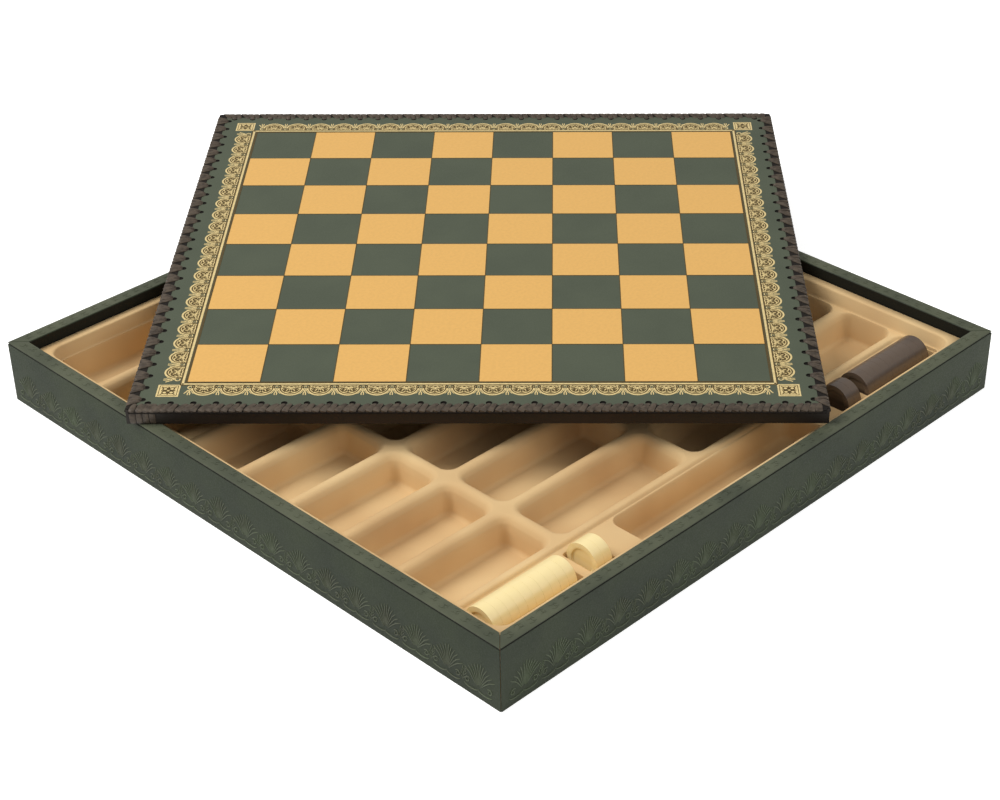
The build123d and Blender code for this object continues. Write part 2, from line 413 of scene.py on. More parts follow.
def gold_leaf(name, light, metallic, roughness, speck):
    # Imitation gold foil, hot stamped into grained leather: a satin metal that lets pinholes
    # of the ground through where the grain kept the foil off.
    material, tree, shader, place = new_material(
        name, {"Metallic": metallic, "Roughness": roughness})
    clouded(tree, shader, place, light, tuple(c * speck for c in light), 1.6, 5.0)
    embossed(tree, shader, pebbles(tree, place, 0.9, 0.5), 0.25, 0.06, True)
    return material


def turned_wood(name, light, dark):
    # Beech, turned across the grain, then stained or left pale and lacquered: faint growth
    # bands 2.4 mm wide under a thin satin coat.
    material, tree, shader, place = new_material(
        name, {"Roughness": 0.4, "IOR": 1.5, "Coat Weight": 0.35, "Coat Roughness": 0.22})
    stretched = add_node(tree, "Mapping", {"Scale": (1.0, 0.25, 1.0)}, {"Vector": place})
    lines = waves(tree, stretched.outputs["Vector"], 2.4,
                  {"bands_direction": "Z", "Distortion": 1.6, "Detail": 3.0, "Detail Scale": 1.4})
    two_tones(tree, shader, lines, light, dark, 0.05, 0.55)
    embossed(tree, shader, lines, 0.1, 0.03)
    return material


def cut_lace(name, light, dark):
    # Calf lace cut from a hide, dyed through and pulled tight: smooth on top, with fine
    # stretch marks and paler rubbed crowns.
    material, tree, shader, place = new_material(
        name, {"Roughness": 0.52, "IOR": 1.48, "Specular IOR Level": 0.35})
    clouded(tree, shader, place, light, dark, 2.4, 6.0)
    embossed(tree, shader, noise(tree, place, 0.7, 5.0, 0.7), 0.5, 0.15)
    return material


def sawn_board(name, light, dark, fibre_mm):
    # Poplar or pressed fibre board as it leaves the saw: dull, with fibres along the board.
    material, tree, shader, place = new_material(name, {"Roughness": 0.8, "IOR": 1.5})
    along = add_node(tree, "Mapping", {"Scale": (0.12, 0.12, 1.0)}, {"Vector": place})
    fibres = clouded(tree, shader, along.outputs["Vector"], light, dark, fibre_mm, 8.0)
    embossed(tree, shader, fibres, 0.4, 0.1)
    return material


def woven_lining(name, light, dark, thread_mm):
    # Plain-woven cotton lining, piece-dyed and glued down: over-and-under threads, no shine.
    material, tree, shader, place = new_material(
        name, {"Roughness": 0.9, "IOR": 1.46, "Sheen Weight": 0.2})
    warp, weft = (waves(tree, place, thread_mm, {"bands_direction": way, "Distortion": 0.4})
                  for way in "XY")
    weave = add_node(tree, "Math", {"operation": "MULTIPLY"}, {0: warp, 1: weft}).outputs["Value"]
    two_tones(tree, shader, weave, light, dark)
    embossed(tree, shader, weave, 0.5, 0.1)
    return material


# ---- Box covers ----
LEATHER = 0.8
TURN_IN = 17.0
COVER_STEPS = 24
RIM_MARK_PITCH = 6.6
# Palmette and sprig: foot above the base, slant, width of a line and its share of the relief.
MOTIFS = ((5.0, 0.14, 0.5, 0.9), (4.4, 0.2, 0.45, 0.8))
# The small scroll, bow and leaf that repeat along the rim.
RIM_MARK = (spiral(0.6, 0.2, 1.5, 60, 0.9, 8), arc(-1.2, 0.4, 1.9, 1.7, 20, 150, 6),
            [(-2.6, -1.2), (-1.0, -0.4), (1.2, -1.3)])


def palmette(height, width):
    """Lines of a blind-tooled palmette: eleven veins that fan up, a scroll and a curl a side."""
    lines = []
    for k in range(-5, 6):
        lean = k / 5
        reach = height * (1 - 0.42 * abs(lean) ** 1.4)
        hook = 0.09 * width * lean
        lines.append([(lean * width * 0.5 * t ** 1.3 + lean * 0.6 + hook * max(0, t - 0.8) * 5,
                       reach * t) for t in (0.16, 0.38, 0.6, 0.8, 0.93, 1.0)])
    for side in (-1, 1):
        curl = arc(width * 0.3, -height * 0.02, width * 0.3, 1.5, 180, 350, 6)
        lines.append(mirrored(side, spiral(width * 0.46, height * 0.12, 1.8, 150, -1.1)))
        lines.append(mirrored(side, curl))
    return lines


def sprig(height):
    """Lines of the smaller sprig that stands between two palmettes."""
    lines = [[(0, 0.5), (0.25, height * 0.5), (0.1, height)]]
    for k, y in enumerate((0.15, 0.34, 0.53, 0.7)):
        for side in (-1, 1):
            lines.append(mirrored(side, [(0, height * y), (1.0, height * (y + 0.13)),
                                         (2.1 - 0.4 * k, height * (y + 0.3))]))
    return lines


def ridge(shape, path, width, face, rise, finish=3):
    """A low rounded ridge of leather along a path (s, z), out of a face at y = face."""
    rings = []
    for i, (s, z) in enumerate(path):
        ds, dz = heading(path, i)
        taper = 0.35 if i in (0, len(path) - 1) else 1.0
        a, b = -dz * width / 2 * taper, ds * width / 2 * taper
        crown = face - rise * taper
        rings.append([(s + a, face + 0.05, z + b), (s + a * 0.6, crown, z + b * 0.6),
                      (s - a * 0.6, crown, z - b * 0.6), (s - a, face + 0.05, z - b)])
    shape.solid(rings, finish)


class CHESSBOX_OT_covers(bpy.types.Operator):
    """Folds embossed leather round the four walls and tools it"""
    bl_idname = "chessbox.covers"
    bl_label = "Leather covers"

    def execute(self, context):
        s = context.scene.chess_covers
        relief, seam, edge = s.relief / MM, s.seam / MM, s.edge_round / MM
        high = corners("cover_front_right")[1]
        half, rim = high[0], high[2]
        wall_low, wall_high = corners("wall_front_right")
        core_out = -wall_low[1]
        core_in = -wall_high[1]
        inner = -high[1]
        skin = half - relief
        top = rim - 0.2
        crease = rim - 1.0
        # Section through the leather, as (distance from the box's centre, height), and the material
        # of its segments that aren't plain: 1 the crease and inner wall, painted shade; 2 the rim's
        # top, painted highlight.
        section = [(skin, 0.0), (skin, crease - 0.7), (skin - 0.1, crease - 0.5),
                   (skin - 0.44, crease - 0.28), (skin - 0.44, crease + 0.1),
                   (skin - 0.12, crease + 0.3), (skin - 0.06, top - 0.42),
                   (skin - 0.3 * edge, top - 0.12), (skin - edge, top), (skin - 3.4, top),
                   (inner + 0.8, top), (inner + 0.3, top - 0.12), (inner, top - 0.5),
                   (inner, rim - TURN_IN), (core_in, rim - TURN_IN), (core_in, rim - LEATHER),
                   (core_out, rim - LEATHER), (core_out, 0.0)]
        finishes = {2: 1, 3: 1, 4: 1, 12: 1, 6: 2, 7: 2, 8: 2, 9: 2, 10: 2}
        # Darker tone of the rim top's painted highlight.
        painted_highlight_dark = colour("#43483A")
        materials = [
            embossed_leather("embossed_waxed_cowhide_green", s.leather, s.shade, 0.8, 0.12, 0.46),
            embossed_leather("crease_and_inner_wall_painted_shade", s.crease, s.crease, 0.8, 0.05, 0.6),
            embossed_leather("cowhide_green_painted_rim_highlight", s.painted_highlight, painted_highlight_dark, 0.8, 0.12, 0.44),
            embossed_leather("tooled_crowns_painted_highlight", s.raised, s.painted_highlight, 0.5, 0.04, 0.38)]
        rng = random.Random(11)
        pitch = s.motif_pitch / MM
        count = int(2 * half // pitch)
        marks = int(2 * (inner + 2) // RIM_MARK_PITCH)
        for k, node in enumerate(COVERS):
            shape = Shape()
            spread = [2 * i / COVER_STEPS - 1 for i in range(COVER_STEPS + 1)]
            shape.solid([[(t * (d - seam), -d, z) for d, z in section] for t in spread],
                        lambda i: finishes.get(i, 0))
            for i in range(2 * count - 1):
                lines = sprig(9.0) if i % 2 else palmette(
                    s.motif_height / MM * rng.uniform(0.94, 1.05), pitch * 0.74)
                foot, slant, width, share = MOTIFS[i % 2]
                centre = (i + 1 - count) / 2 * pitch
                for path in lines:
                    ridge(shape, [(centre + x + slant * y, foot + y) for x, y in path],
                          width, -skin, relief * share)
            tooled = Shape()
            for i in range(marks):
                centre = (i - (marks - 1) / 2) * RIM_MARK_PITCH
                turn = 1 if i % 2 else -1
                for path in RIM_MARK:
                    ridge(tooled, [(centre + x, turn * y) for x, y in path], 0.42, 0.0, 0.17, 2)
            along_rim = Matrix.Translation((0, -(skin + inner) / 2 + 0.4, top))
            shape.join(tooled.placed(along_rim @ Matrix.Rotation(radians(-90), 4, "X")))
            make_piece("leather_" + node, shape.placed(quarter_turns(k)), materials, "box",
                       [node])
        return {"FINISHED"}


# ---- Tray ----
# Plan of the moulding, in millimetres from its own centre. The ledge that carries the
# draughts is drawn LEDGE_DROP below the ribs; the channel and the cradles are sunk in it.
CELL_COLUMNS = ((-160.0, -94.0), (-88.0, -3.0), (3.0, 88.0), (94.0, 160.0))
CELL_ROW_START = -126.4
CELL_WIDTH = 30.55
CELL_ROWS = 8
CELL_CORNER = 6.0
CELL_GAP = 0.9
RIB = 6.0
RIB_DROP = 7.5
DRAFT = 5
CHANNEL = (-64.5, 64.5, -158.75, -132.4)
LEDGE = (-159.1, 159.1, -159.1, -131.4)
LEDGE_DROP = 1.5
CRADLES = ((102.0, 158.5), (82.0, 97.0))
CRADLE_AXIS = (-144.75, 18.0)
CRADLE_RADIUS = 9.55
WELL = 160.0
FLANGE_STEP = 161.0
SHEET = 1.15


def cell_rings(x0, x1, y0, y1, rib_z, floor_z, shoulder, fillet, sharp=False):
    """Rings down one cell: half-round rib or `sharp` edge, drafted wall, filleted floor.

    A side that stands against the well's step has only a narrow shoulder.
    """
    wall_low = floor_z + fillet
    wall_top = rib_z - 3.6
    foot = shoulder + (wall_top - wall_low) * tan(radians(DRAFT))
    if sharp:
        crest = [(-0.15, 0), (-0.1, 0), (0.1, 0.08), (0.35, 0.4), (shoulder - 0.6, 1.2)]
    else:
        crest = [(-2.6, 0), (-2.4, 0), (-1.8, 0.14), (-1.15, 0.42), (-0.55, 0.8), (0.0, 1.3),
                 (0.45, 1.95), (shoulder - 0.4, 2.7)]
    profile = [(d, rib_z - drop) for d, drop in crest]
    profile += [(shoulder, wall_top), ((shoulder + foot) / 2, (wall_top + wall_low) / 2),
                (foot, wall_low)]
    for k in range(1, 6):
        turn = radians(90 * k / 5)
        profile.append((foot + fillet * (1 - cos(turn)), wall_low - fillet * sin(turn)))
    profile.append((profile[-1][0] + 0.3, floor_z))
    reach = WELL - 2.5
    rings = []
    for d, z in profile:
        tight = 0.12 * d if d < shoulder else d - 0.88 * shoulder
        left, near = (tight if v < -reach else d for v in (x0, y0))
        right, far = (tight if v > reach else d for v in (x1, y1))
        rings.append(rounded_ring(x0 + left, x1 - right, y0 + near, y1 - far,
                                  max(CELL_CORNER - d, 1.2), z))
    return rings


def ledge_rings(x0, x1, y0, y1, rib_z, ledge_z):
    """Rings down from the ribs to the ledge that carries the draughts."""
    drop = rib_z - ledge_z
    steps = ((-1.5, 0), (-1.3, 0), (-0.8, 0.1), (-0.3, 0.3), (0.1, 0.58), (0.45, 0.85),
             (0.7, 0.97), (0.9, 1))
    return [rounded_ring(x0 + 0.12 * d, x1 - 0.12 * d, y0 + 0.12 * d, y1 - d, 5.0 - d,
                         rib_z - part * drop) for d, part in steps]


def cradle_rings(x0, x1, ledge_z):
    """Rings down one half-round cradle for draughts on their sides."""
    y, axis = CRADLE_AXIS
    r = CRADLE_RADIUS
    lip = ((0.7, ledge_z), (0.6, ledge_z), (0.15, ledge_z - 0.12), (0.02, ledge_z - 0.3),
           (0.0, axis))
    rings = [rounded_ring(x0 - out, x1 + out, y - r - out, y + r + out, 1.6, z) for out, z in lip]
    for k in range(1, 12):
        turn = radians(7.7 * k)
        # The ends lean in by the draft and are filleted over the last steps.
        inset = 0.07 * r * sin(turn) + 1.3 * max(0, k - 7) ** 2 / 16
        rings.append(rounded_ring(x0 + inset, x1 - inset, y - r * cos(turn), y + r * cos(turn),
                                  1.4, axis - r * sin(turn)))
    return rings


def inside(x, y, loop):
    """Whether a point lies inside a closed loop."""
    odd = False
    for i, a in enumerate(loop):
        b = loop[i - 1]
        if (a[1] > y) != (b[1] > y) and x < (b[0] - a[0]) * (y - a[1]) / (b[1] - a[1]) + a[0]:
            odd = not odd
    return odd


def plate_with_holes(outer, holes, z):
    """Triangles that fill `outer` round the holes, all at height z."""
    points, edges = [], []
    for loop in [outer] + holes:
        start = len(points)
        points += [Vector(p[:2]) for p in loop]
        edges += [(start + i, start + (i + 1) % len(loop)) for i in range(len(loop))]
    found, _, triangles, _, _, _ = geometry.delaunay_2d_cdt(points, edges, [], 1, 1e-5)
    spans = []
    for hole in holes:
        xs, ys = [p[0] for p in hole], [p[1] for p in hole]
        spans.append((hole, min(xs), max(xs), min(ys), max(ys)))
    kept = []
    for face in triangles:
        cx = sum(found[i].x for i in face) / len(face)
        cy = sum(found[i].y for i in face) / len(face)
        if inside(cx, cy, outer) and not any(
                x0 < cx < x1 and y0 < cy < y1 and inside(cx, cy, hole)
                for hole, x0, x1, y0, y1 in spans):
            a, b, c = (found[i] for i in face[:3])
            kept.append(list(face) if (b - a).cross(c - a) > 0 else list(face)[::-1])
    return [(p.x, p.y, z) for p in found], kept


class CHESSBOX_OT_tray(bpy.types.Operator):
    """Draws the flocked tray: flange, step, ribs, cells, channel and cradles"""
    bl_idname = "chessbox.tray"
    bl_label = "Flocked tray"

    def execute(self, context):
        s = context.scene.chess_tray
        shoulder, fillet = s.shoulder / MM, s.floor_fillet / MM
        low, high = corners("tray")
        centre = middle("tray")
        flange_z = high[2]
        rib_z = flange_z - RIB_DROP
        ledge_z = rib_z - LEDGE_DROP
        floor_z = low[2] + 1.2
        shape = Shape()
        pockets = []
        limit = WELL - CELL_GAP
        for x0, x1 in CELL_COLUMNS:
            x0, x1 = max(x0, -limit), min(x1, limit)
            for row in range(CELL_ROWS):
                y0 = CELL_ROW_START + row * (CELL_WIDTH + RIB)
                y1 = min(y0 + CELL_WIDTH, limit)
                pockets.append(cell_rings(x0, x1, y0, y1, rib_z, floor_z, shoulder, fillet))
        sunk = [cell_rings(*CHANNEL, ledge_z, floor_z, shoulder, fillet, sharp=True)]
        for near, far in CRADLES:
            sunk += [cradle_rings(near, far, ledge_z), cradle_rings(-far, -near, ledge_z)]
        for rings in pockets + sunk:
            shape.bridge(rings, cap_last=True)
        ledge = ledge_rings(*LEDGE, rib_z, ledge_z)
        shape.bridge(ledge)
        shape.add(*plate_with_holes(ledge[-1], [rings[0] for rings in sunk], ledge_z))
        pockets.append(ledge)
        # From the flange's outer edge over the step and down to the ribs.
        well = [(high[0] - centre[0], flange_z), (FLANGE_STEP + 1.2, flange_z),
                (FLANGE_STEP + 0.9, flange_z), (FLANGE_STEP + 0.35, flange_z - 0.2),
                (FLANGE_STEP, flange_z - 0.8), (WELL + 0.15, rib_z + 1.1),
                (WELL - 0.05, rib_z + 0.4), (WELL - 0.3, rib_z + 0.08), (WELL - 0.45, rib_z),
                (WELL - 0.48, rib_z)]
        radii = [4.0] + [8.0] * (len(well) - 1)
        loops = [rounded_ring(-d, d, -d, d, r, z) for (d, z), r in zip(well, radii)]
        shape.bridge(loops)
        shape.add(*plate_with_holes(loops[-1], [rings[0] for rings in pockets], rib_z))
        placed = shape.placed(Matrix.Translation((centre[0], centre[1], 0)))
        material = flocked_styrene("flocked_vacuum_formed_polystyrene", s.flock, s.flock_shade)
        piece = make_piece("moulded_tray", placed, [material], "box", ["tray"],
                           50, outward=False)
        sheet = piece.modifiers.new("Sheet", "SOLIDIFY")
        sheet.thickness = SHEET * MM
        sheet.offset = -1
        return {"FINISHED"}


# ---- Draughts ----
DRAUGHT_SEGMENTS = 48
DRAUGHT_ROWS = (("light_stack", 10, "light_wood"), ("light_pair", 2, "light_wood"),
                ("dark_stack", 10, "dark_wood"), ("dark_pair", 2, "dark_wood"))


def turned_draught(radius, thickness, edge):
    """One draught on its side, axis along X, with a dish and a raised rim in both faces."""
    h = thickness / 2
    profile = [(h - 0.85, 0.4), (h - 0.85, 2.0), (h - 0.8, radius - 3.5), (h - 0.45, radius - 3.1),
               (h - 0.08, radius - 2.8), (h, radius - 2.5), (h, radius - 1.5),
               (h, radius - 2 * edge), (h, radius - edge),
               (h - edge * 0.3, radius - edge * 0.3), (h - edge, radius), (h - edge - 0.25, radius)]
    profile += [(-x, r) for x, r in reversed(profile)]
    turns = [2 * pi * k / DRAUGHT_SEGMENTS for k in range(DRAUGHT_SEGMENTS)]
    shape = Shape()
    shape.solid([[(x, r * cos(turn), r * sin(turn)) for turn in turns] for x, r in profile])
    return shape


class CHESSBOX_OT_draughts(bpy.types.Operator):
    """Turns the draughts and stands them in their cradles"""
    bl_idname = "chessbox.draughts"
    bl_label = "Draughts"

    def execute(self, context):
        s = context.scene.chess_draughts
        pale = turned_wood("lacquered_turned_beech_pale", s.light, colour("#F5DF9F"))
        dark = turned_wood("lacquered_turned_beech_stained", s.dark, colour("#4F4136"))
        woods = {"light_wood": pale, "dark_wood": dark}
        rng = random.Random(5)
        for node, count, slot in DRAUGHT_ROWS:
            low, high = corners(node)
            centre = middle(node)
            pitch = (high[0] - low[0]) / count
            radius = (high[2] - low[2]) / 2
            shape = Shape()
            for i in range(count):
                one = turned_draught(radius - rng.uniform(0, 0.03), pitch - 0.02, s.edge / MM)
                place = (low[0] + (i + 0.5) * pitch, centre[1], centre[2])
                shape.join(one.placed(Matrix.Translation(place)))
            make_piece("turned_" + node, shape, [woods[slot]], node, [node], 32)
        return {"FINISHED"}


# ---- Playing board ----
BOARD_TURN = -46.15
BOARD_HALF = 165.5
SHEET_HALF = 163.9
STITCHES = 30
STITCH_PITCH = 10.7
FIELD_HALF = 139.4
BAND = (142.1, 152.4)
HOLES = [-(STITCHES - 1) / 2 * STITCH_PITCH + k * STITCH_PITCH for k in range(STITCHES)]
HOLE_SEGMENTS = 12


def board_place(side=0):
    """From a side of the unturned board, seen as its -Y side, to where the board lies."""
    x, y, _ = middle("board_core")
    return Matrix.Translation((x, y, 0)) @ Matrix.Rotation(radians(BOARD_TURN + 90 * side), 4, "Z")


class CHESSBOX_OT_board(bpy.types.Operator):
    """Lays the punched leather and finishes the board's own nodes"""
    bl_idname = "chessbox.board"
    bl_label = "Playing board"

    def execute(self, context):
        s = context.scene.chess_board
        low, high = corners("board_top_leather")
        z0, z1 = low[2], high[2]
        radius = s.hole / MM / 2
        inset = BOARD_HALF - s.hole_inset / MM
        places = [quarter_turns(side) @ Vector((x, -inset, 0))
                  for side in range(4) for x in HOLES]
        turns = [2 * pi * k / HOLE_SEGMENTS for k in range(HOLE_SEGMENTS)]

        def hole_ring(place, share, z):
            return [(place.x + radius * share * cos(turn), place.y + radius * share * sin(turn), z)
                    for turn in turns]

        shape = Shape()
        half = SHEET_HALF
        sheet = [(half, z0), (half, z1 - 0.35), (half - 0.12, z1 - 0.1), (half - 0.4, z1),
                 (half - 0.5, z1)]
        loops = [rounded_ring(-d, d, -d, d, 1.2, z, 3) for d, z in sheet]
        shape.bridge(loops, cap_first=True)
        shape.add(*plate_with_holes(loops[-1], [hole_ring(place, 1, z1) for place in places], z1))
        for place in places:
            depths = ((1.0, z1), (0.93, z1 - 0.12), (0.88, z0 + 0.08))
            shape.bridge([hole_ring(place, share, z) for share, z in depths], 1, cap_last=True)
        leather = embossed_leather("smooth_plated_cowhide_green", s.leather, s.leather_shade,
                                   0.55, 0.035, 0.44)
        # Painted shade: near black on the walls and floors of the punched holes.
        hole_shade = embossed_leather("punched_hole_painted_shade", colour("#1C1713"), colour("#120F0C"),
                               0.6, 0.05, 0.8)
        make_piece("punched_top_leather", shape.placed(board_place()), [leather, hole_shade], "board",
                   ["board_top_leather"], 30)
        dress("light_squares",
              gold_leaf("screen_printed_gold_on_cowhide", s.squares, 0.12, 0.42, 0.94))
        edge = embossed_leather("skived_edge_leather_brown", context.scene.chess_lacing.edge,
                                colour("#241B16"), 0.7, 0.08, 0.4)
        for side in SIDES:
            dress("board_edge_" + side, edge)
        return {"FINISHED"}


# ---- Gold tooling ----
PIN_HEAD = arc(0, 0, 1.15, 1.15, 0, 324, 9)


def on_band(s, points):
    """A drawing on the band: along it from s, and away from the field."""
    return [(s + x, -BAND[0] - y) for x, y in points]


def lunette(shape, s, z0, z1):
    """One lunette of the band, bulging away from the field, centred at s."""
    ground = on_band(s, arc(0, 2.4, 5.6, 6.1, 200, -20, 16))
    shape.solid([[(x, y, z) for x, y in ground] for z in (z0, z1 - 0.07)], 1)
    lines = [(arc(0, 2.6, 5.9, 6.5, -12, 192, 16), 0.9), (arc(0, 2.6, 4.6, 5.1, -5, 185, 14), 0.4)]
    for side in (-1, 1):
        lines += [(mirrored(side, spiral(3.1, 2.5, 1.6, -90, 1.2)), 0.55),
                  (mirrored(side, arc(1.7, 5.0, 1.5, 1.7, 260, 60, 7)), 0.5)]
    for k in range(-2, 3):
        lean = radians(26 * k)
        lines.append(([(reach * sin(lean), 1.2 + reach * cos(lean)) for reach in (0.9, 3.1, 4.6)],
                      0.5 if k % 2 else 0.75))
    lines.append(([(-4.8, 0.75), (-1.5, 1.05), (0, 0.7), (1.5, 1.05), (4.8, 0.75)], 0.5))
    for line, width in lines:
        ribbon(shape, on_band(s, line), width, z0, z1)


def fleuron(shape, s, z0, z1):
    """The small flower between two lunettes."""
    ribbon(shape, on_band(s, [(x, 2.2 + y) for x, y in PIN_HEAD]), 0.6, z0, z1, closed=True)
    ribbon(shape, on_band(s, [(0, 3.4), (0, 6.2)]), 0.6, z0, z1)
    for side in (-1, 1):
        for line, width in (([(0.2, 4.4), (0.9, 5.1), (1.6, 6.6), (2.3, 7.7)], 0.6),
                            ([(0.2, 6.2), (0.6, 7.6), (0.5, 9.0)], 0.5)):
            ribbon(shape, on_band(s, mirrored(side, line)), width, z0, z1)


def corner_square(shape, z0, z1):
    """The gold square that closes two bands, with a rosette pressed through to the ground."""
    centre = -(BAND[0] + BAND[1]) / 2
    size = (BAND[1] - BAND[0]) / 2 + 0.2

    def at(points):
        return [(centre + x, centre + y) for x, y in points]

    def spoke(turn, start, end):
        return at([(r * cos(turn), r * sin(turn)) for r in (start, end)])

    ribbon(shape, at([(-size, 0), (size, 0)]), 2 * size, z0, z1 - 0.05)
    d = size - 1.0
    ribbon(shape, at([(-d, -d), (d, -d), (d, d), (-d, d)]), 0.45, z0, z1, 1, closed=True)
    for k in range(4):
        turn = radians(45 + 90 * k)
        petal = [(2.3 * cos(turn) + x, 2.3 * sin(turn) + y) for x, y in PIN_HEAD]
        ribbon(shape, at(petal), 0.6, z0, z1, 1, closed=True)
        ribbon(shape, spoke(turn, 3.3, 4.9), 0.6, z0, z1, 1)
        ribbon(shape, spoke(radians(90 * k), 0.5, 3.4), 0.8, z0, z1, 1)


class CHESSBOX_OT_tooling(bpy.types.Operator):
    """Stamps the gold line, the band of lunettes and the corner squares"""
    bl_idname = "chessbox.tooling"
    bl_label = "Gold tooling"

    def execute(self, context):
        s = context.scene.chess_tooling
        low, high = corners("gold_border")
        z0, z1 = low[2] - 0.02, high[2]
        line = FIELD_HALF + 1.9
        gold = gold_leaf("hot_stamped_gold_foil", s.gold, 0.2, 0.36, 0.8)
        burnt = gold_leaf("hot_pressed_leather_ground", s.burnt, 0.1, 0.5, 0.8)
        pitch = s.pitch / MM
        shape = Shape()
        for side in range(4):
            one = Shape()
            ribbon(one, [(-line - 0.4, -line), (line + 0.4, -line)], s.line / MM, z0, z1)
            for offset, width in ((0.66, 0.62), (2.85, 0.6)):
                d = FIELD_HALF + offset
                ribbon(one, [(-d, -d), (d, -d)], width, z0, z1 - 0.05, 1)
            for k in range(s.lunettes):
                lunette(one, (k - (s.lunettes - 1) / 2) * pitch, z0, z1)
            for k in range(s.lunettes + 1):
                fleuron(one, (k - s.lunettes / 2) * pitch, z0, z1)
            corner_square(one, z0, z1)
            # The thin burnt line that parts the squares.
            for k in range(-4, 5) if side < 2 else ():
                across = k * FIELD_HALF / 4
                ribbon(one, [(-FIELD_HALF, across), (FIELD_HALF, across)], 0.4, z0, z1 + 0.02, 1)
            shape.join(one.placed(quarter_turns(side)))
        make_piece("gold_tooling", shape.placed(board_place()), [gold, burnt], "board",
                   ["gold_border"])
        return {"FINISHED"}


# ---- Lacing ----
# For each side: how far a strand runs sideways on its way out to the edge, in millimetres,
# its width against the full width, and how much the three strands of a hole draw together
# towards it, from 0 for side by side to 1.
LACED = {"front": (-2.8, 1.0, 0.2), "right": (-2.6, 0.78, 0.95),
         "back": (2.2, 1.03, 0.25), "left": (0.3, 0.93, 0.75)}
# A strand's way from its hole to the edge: the share of the way that is left, and the depth.
WAY_OUT = ((1.0, 1.35), (0.93, 0.7), (0.74, 0.5), (0.5, 0.45), (0.27, 0.46), (0.13, 0.64))
# Its width on that way and over the edge, against its width there.
FAN = (0.3, 0.36, 0.56, 0.82, 1.0, 1.05, 1.03, 0.92)
STRAND_SPACING = STITCH_PITCH / 3
DRAWN_SPACING = 0.75
HOLE_REACH = 1.6 + STRAND_SPACING
CORNER_EXTRAS = 5
STRAND_END = 2.9
GAP_SHADE_END = 2.0
WRAPS = 4
WRAP_FAN = (0.6, 0.8, 0.95, 1.0, 1.0, 1.0, 1.0, 1.0, 0.95, 0.8)
KNOT = (126.0, 128.5, 131.0, 133.5)


def strand(shape, path, widths, thickness):
    """A flat lace, rounded on top, along 3-D points. `widths` lie along X."""
    rings = []
    n = len(path)
    turns = [2 * pi * k / 8 + pi / 8 for k in range(8)]
    for i, p in enumerate(path):
        before, after = Vector(path[max(i - 1, 0)]), Vector(path[min(i + 1, n - 1)])
        run = (after - before).normalized()
        across = (Vector((1, 0, 0)) - run * run.x).normalized()
        normal = across.cross(run).normalized()
        rings.append([Vector(p) + across * cos(turn) * widths[i] / 2 * 1.05
                      + normal * sin(turn) * thickness / 2 * 1.08 for turn in turns])
    shape.solid(rings)


def over_edge(x_hole, x_out, top, lift):
    """Points of a strand out of its hole, across the margin and over the board's -Y edge."""
    edge = -BOARD_HALF
    points = [(x_out + (x_hole - x_out) * t, edge + 6.6 * t + 0.4 * (1 - t), top - depth + lift)
              for t, depth in WAY_OUT]
    return points + [(x_out, edge + 0.58, top - 1.0), (x_out, edge + 0.66, top - 1.55)]


def lace_gap_shade(shape, leather_z, top):
    """A near-black strip under the strands, painted shade seen between them, and a bead of the same
    painted shade along their lower ends.
    """
    y0, y1 = -BOARD_HALF + 0.7, -BOARD_HALF + 5.3
    strip = [(y0, leather_z - 0.4), (y1, leather_z - 0.02), (y1, leather_z + 0.08),
             (y0 + 0.6, leather_z + 0.16), (y0, leather_z)]
    bead = [(-BOARD_HALF + 0.6 + y, top - 1.95 + z) for y, z in arc(0, 0, 0.52, 0.62, 0, 330, 11)]
    reach = BOARD_HALF - GAP_SHADE_END
    for section in (strip, bead):
        shape.solid([[(x, y, z) for y, z in section] for x in (-reach, reach)], 1)


def corner_wraps(shape, top, bottom, thickness):
    """The last strands at one corner, which run down the edge and under the board."""
    edge = -BOARD_HALF
    for k in range(WRAPS):
        x = edge + 3.7 + 3.15 * k
        path = over_edge(x + 0.9, x, top, -0.04 * k)[1:-1]
        path += [(x, edge + 0.52, (top + bottom) / 2), (x + 0.2, edge + 0.52, bottom + 1.2),
                 (x + 0.2, edge + 0.85, bottom + 0.55), (x + 0.2, edge + 1.6, bottom + 0.42)]
        strand(shape, path, [2.9 * f for f in WRAP_FAN], thickness)


